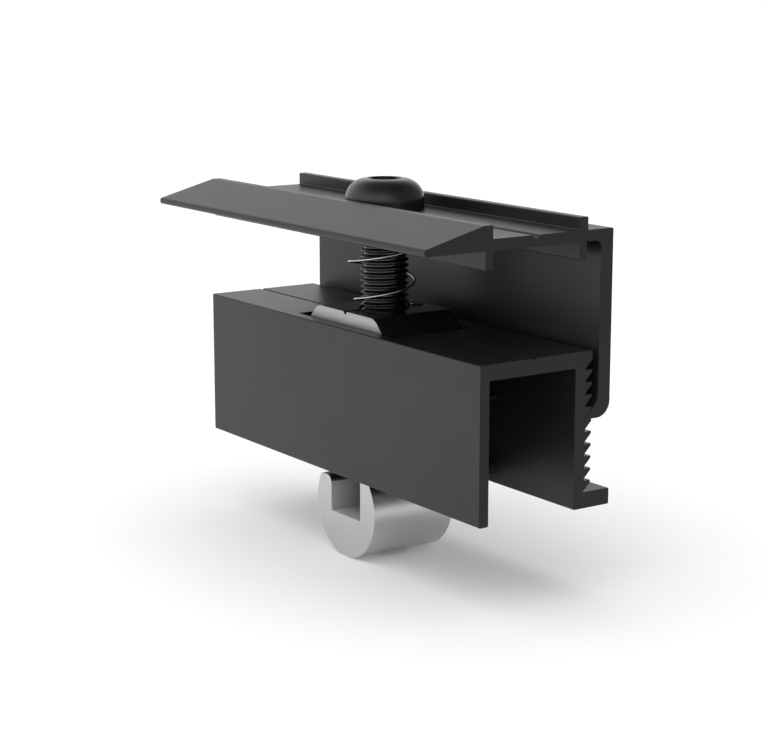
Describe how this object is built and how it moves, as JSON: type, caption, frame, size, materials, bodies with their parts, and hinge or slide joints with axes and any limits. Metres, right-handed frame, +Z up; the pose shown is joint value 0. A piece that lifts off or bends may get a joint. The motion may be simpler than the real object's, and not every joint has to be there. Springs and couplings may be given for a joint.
{
  "type": "solar module clamp",
  "caption": "Height-adjustable solar module clamp: channel with a toothed leg, winged upper clamp with a hooked back wall, socket bolt, fine spring and a slotted barrel nut.",
  "frame": {"origin": "on the bolt's axis, level with the rail's top, where the channel's legs stand; halfway along the extrusions", "axes": "+Z up along the bolt towards its head, +Y along the extrusions, +X towards the toothed leg, so the wing that holds the module points to -X"},
  "size_m": [0.0358, 0.08, 0.0636],
  "materials": {
    "black_anodised": "satin black anodised extrusion",
    "black_steel": "glossy black coating",
    "spring_wire": "bright drawn wire",
    "satin_aluminium": "bare, satin"
  },
  "bodies": {
    "base": {"channel": "black_anodised", "guide_block": "black_anodised", "barrel_nut": "satin_aluminium", "spring": "spring_wire"},
    "washer": {"washer": "black_steel"},
    "bolt": {"clamp_bolt": "black_steel"},
    "upper_clamp": {"upper_clamp": "black_anodised"}
  },
  "joints": [
    {"name": "head_rise", "type": "slide", "parent": "base", "child": "washer", "axis": [0, 0, 1], "range_m": [0, 0.00175], "deforming": ["spring"]},
    {"name": "bolt_turn", "type": "hinge", "parent": "washer", "child": "bolt", "pos_m": [0, 0, 0.0487], "axis": [0, 0, 1], "range_deg": [0, 630]},
    {"name": "clamp_tilt", "type": "hinge", "parent": "washer", "child": "upper_clamp", "pos_m": [0.0066, 0, 0.04365], "axis": [0, 1, 0], "range_deg": [-3.85, 0]}
  ],
  "couplings": [
    {"joint": "bolt_turn", "follows": "head_rise", "rad_per_m": 6283.2},
    {"joint": "clamp_tilt", "follows": "head_rise", "rad_per_m": -38}
  ]
}
